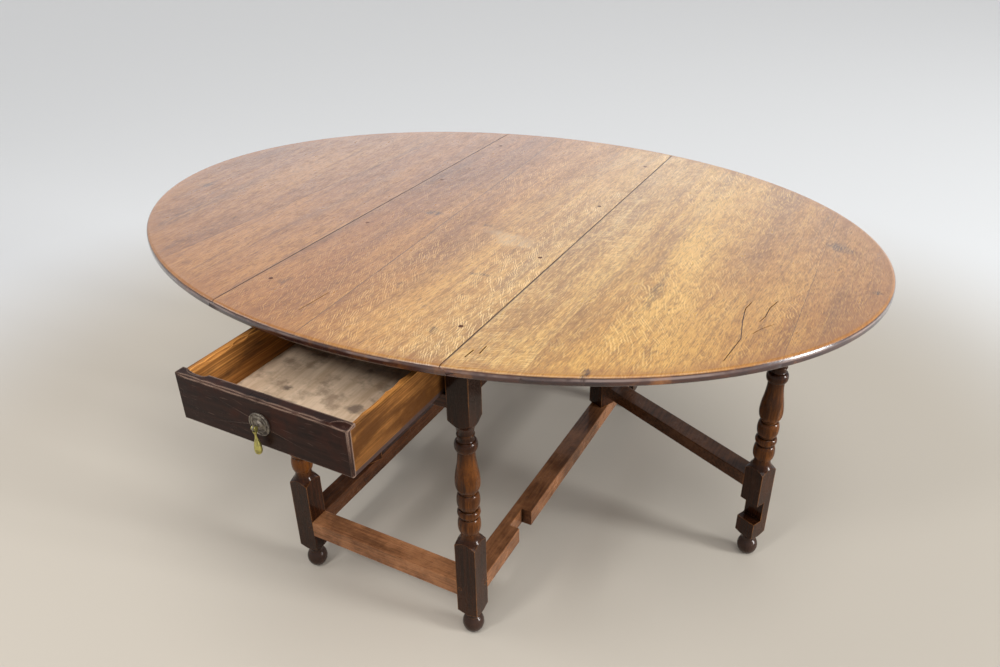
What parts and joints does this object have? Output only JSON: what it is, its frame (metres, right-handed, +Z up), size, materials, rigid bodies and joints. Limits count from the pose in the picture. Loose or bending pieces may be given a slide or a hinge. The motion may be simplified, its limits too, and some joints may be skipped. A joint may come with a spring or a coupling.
{
  "type": "gateleg table",
  "caption": "Oval oak drop-leaf table on turned legs with box stretchers, swinging gates under the leaves and a drawer with a drop pull.",
  "frame": {"origin": "on the floor, in the middle of the box of the table with its drawer pulled out", "axes": "+X across the leaves towards the right leaf, +Y along the seams away from the drawer, +Z up"},
  "size_m": [1.656, 1.3754, 0.735],
  "materials": {
    "top_oak": "waxed, mid brown, worn",
    "frame_oak": "dark reddish brown, polished by handling",
    "drawer_front_oak": "very dark, old polish",
    "drawer_side_oak": "dry, sawn",
    "drawer_bottom_oak": "grey tan, worn",
    "inner_oak": "dry, unfinished",
    "peg_oak": "end grain, dark",
    "iron": "forged, dull",
    "brass": "cast, tarnished"
  },
  "bodies": {
    "frame": {"apron_pegs": "peg_oak", "back_apron": "frame_oak", "back_stretcher": "frame_oak", "drawer_rail": "frame_oak", "fixed_top_left_board": "top_oak", "fixed_top_right_board": "top_oak", "front_stretcher": "frame_oak", "left_apron": "frame_oak", "left_drawer_guide": "inner_oak", "left_drawer_kicker": "inner_oak", "left_drawer_runner": "inner_oak", "left_hinge_pins": "iron", "left_hinge_top_plates": "iron", "left_hinge_top_screws": "iron", "left_stretcher": "frame_oak", "leg_back_left": "frame_oak", "leg_back_right": "frame_oak", "leg_front_left": "frame_oak", "leg_front_right": "frame_oak", "right_apron": "frame_oak", "right_drawer_guide": "inner_oak", "right_drawer_kicker": "inner_oak", "right_drawer_runner": "inner_oak", "right_hinge_pins": "iron", "right_hinge_top_plates": "iron", "right_hinge_top_screws": "iron", "right_stretcher": "frame_oak", "stretcher_pegs": "peg_oak", "top_pegs": "peg_oak", "top_rail": "frame_oak"},
    "left_leaf": {"left_hinge_leaf_plates": "iron", "left_hinge_leaf_screws": "iron", "left_leaf_inner_board": "top_oak", "left_leaf_outer_board": "top_oak"},
    "right_leaf": {"right_hinge_leaf_plates": "iron", "right_hinge_leaf_screws": "iron", "right_leaf_inner_board": "top_oak", "right_leaf_middle_board": "top_oak", "right_leaf_outer_board": "top_oak"},
    "left_gate": {"left_gate_leg": "frame_oak", "left_gate_lower_rail": "frame_oak", "left_gate_pegs": "peg_oak", "left_gate_post": "frame_oak", "left_gate_upper_rail": "frame_oak"},
    "right_gate": {"right_gate_leg": "frame_oak", "right_gate_lower_rail": "frame_oak", "right_gate_pegs": "peg_oak", "right_gate_post": "frame_oak", "right_gate_upper_rail": "frame_oak"},
    "drawer": {"drawer_back": "drawer_side_oak", "drawer_bottom": "drawer_bottom_oak", "drawer_front": "drawer_front_oak", "drawer_left_side": "drawer_side_oak", "drawer_nails": "iron", "drawer_right_side": "drawer_side_oak", "pull_rosette": "brass", "pull_staple": "brass"},
    "pull": {"pull_drop": "brass", "pull_pin": "brass"}
  },
  "joints": [
    {"name": "left_leaf_lift", "type": "hinge", "parent": "frame", "child": "left_leaf", "pos_m": [-0.2525, 0.07475, 0.719], "axis": [0, 1, 0], "range_deg": [0, 4]},
    {"name": "right_leaf_lift", "type": "hinge", "parent": "frame", "child": "right_leaf", "pos_m": [0.2285, 0.07475, 0.719], "axis": [0, -1, 0], "range_deg": [0, 4]},
    {"name": "left_gate_swing", "type": "hinge", "parent": "frame", "child": "left_gate", "pos_m": [-0.22, -0.16625, 0.15], "axis": [0, 0, 1], "range_deg": [-64.6, 25.4]},
    {"name": "right_gate_swing", "type": "hinge", "parent": "frame", "child": "right_gate", "pos_m": [0.196, 0.31575, 0.15], "axis": [0, 0, 1], "range_deg": [-64.6, 25.4]},
    {"name": "drawer_slide", "type": "slide", "parent": "frame", "child": "drawer", "axis": [0, -1, 0], "range_m": [-0.256, 0.15]},
    {"name": "pull_swing", "type": "hinge", "parent": "drawer", "child": "pull", "pos_m": [-0.012, -0.68125, 0.646], "axis": [-1, 0, 0], "range_deg": [0, 80]}
  ]
}
